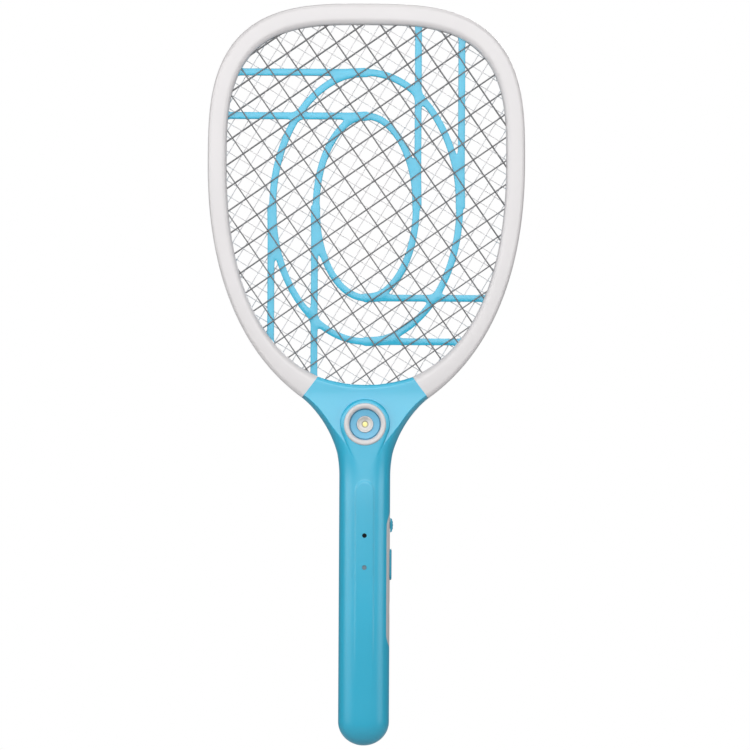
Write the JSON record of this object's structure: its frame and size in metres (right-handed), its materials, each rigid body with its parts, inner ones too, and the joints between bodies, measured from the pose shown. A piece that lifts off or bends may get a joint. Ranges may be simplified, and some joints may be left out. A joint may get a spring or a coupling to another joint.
{
  "type": "electric fly swatter",
  "caption": "Racket-shaped electric fly swatter: oval wire-grid head with ribbed spacers in a white frame, on a straight blue handle with a torch, slide switch and side button.",
  "frame": {"origin": "centre of the grip, on the handle's axis and on the parting plane of its two shells", "axes": "+Z along the handle from the grip to the head, -Y out of the front face that carries the torch, +X towards the side strip with its switch and button"},
  "size_m": [0.218, 0.0327, 0.51],
  "materials": {
    "frame_white": "satin moulded ABS",
    "grid_steel": "dark plated wire",
    "fine_grid_steel": "bright plated wire",
    "shell_blue": "satin moulded ABS",
    "control_blue": "satin moulded ABS",
    "screw_steel": "zinc plated",
    "contact_brass": "stamped brass",
    "dish_blue": "satin moulded ABS",
    "reflector_white": "satin",
    "led_ceramic": "ceramic",
    "led_phosphor": "silicone",
    "board_green": "solder mask",
    "black_plastic": "moulded",
    "switch_steel": "nickel plated",
    "ferrite": "sintered",
    "winding_tape": "polyester tape",
    "capacitor_red": "epoxy dipped",
    "resistor_tan": "lacquered",
    "led_dark": "dark tinted epoxy",
    "led_grey": "clear diffused epoxy",
    "cell_wrap": "heat-shrink sleeve",
    "lead_red": "PVC insulated",
    "lead_black": "PVC insulated",
    "lead_white": "PVC insulated"
  },
  "bodies": {
    "swatter": {"head_frame_front": "frame_white", "head_frame_rear": "frame_white", "front_grid": "grid_steel", "rear_grid": "grid_steel", "middle_grid": "fine_grid_steel", "spacer_front": "shell_blue", "spacer_rear": "shell_blue", "head_frame_screws": "screw_steel", "grid_contacts": "contact_brass", "handle_front_shell": "shell_blue", "handle_rear_shell": "shell_blue", "handle_screws": "screw_steel", "torch_bezel": "frame_white", "torch_dish": "dish_blue", "torch_reflector": "reflector_white", "torch_led": "led_ceramic", "torch_led_chip": "led_phosphor", "torch_board": "board_green", "side_strip": "frame_white", "slide_switch_body": "switch_steel", "button_switch_body": "black_plastic", "circuit_board": "board_green", "transformer_core": "ferrite", "transformer_winding": "winding_tape", "hv_capacitor": "capacitor_red", "hv_diodes": "black_plastic", "resistors": "resistor_tan", "transistor": "black_plastic", "charging_socket": "switch_steel", "upper_indicator_led": "led_dark", "lower_indicator_led": "led_grey", "battery_cell": "cell_wrap", "battery_tabs": "screw_steel", "live_grid_lead": "lead_red", "ground_grid_lead": "lead_black", "torch_leads": "lead_white", "battery_leads": "lead_red"},
    "slide_switch": {"slide_switch_knob": "control_blue", "slide_switch_lever": "black_plastic"},
    "button": {"swat_button": "control_blue", "button_plunger": "black_plastic"}
  },
  "joints": [
    {"name": "slide_switch_travel", "type": "slide", "parent": "swatter", "child": "slide_switch", "axis": [0, 0, 1], "range_m": [-0.004, 0]},
    {"name": "swat_button_press", "type": "slide", "parent": "swatter", "child": "button", "axis": [-1, 0, 0], "range_m": [0, 0.001], "stiffness_N_per_m": 600, "springref_m": -0.001}
  ]
}
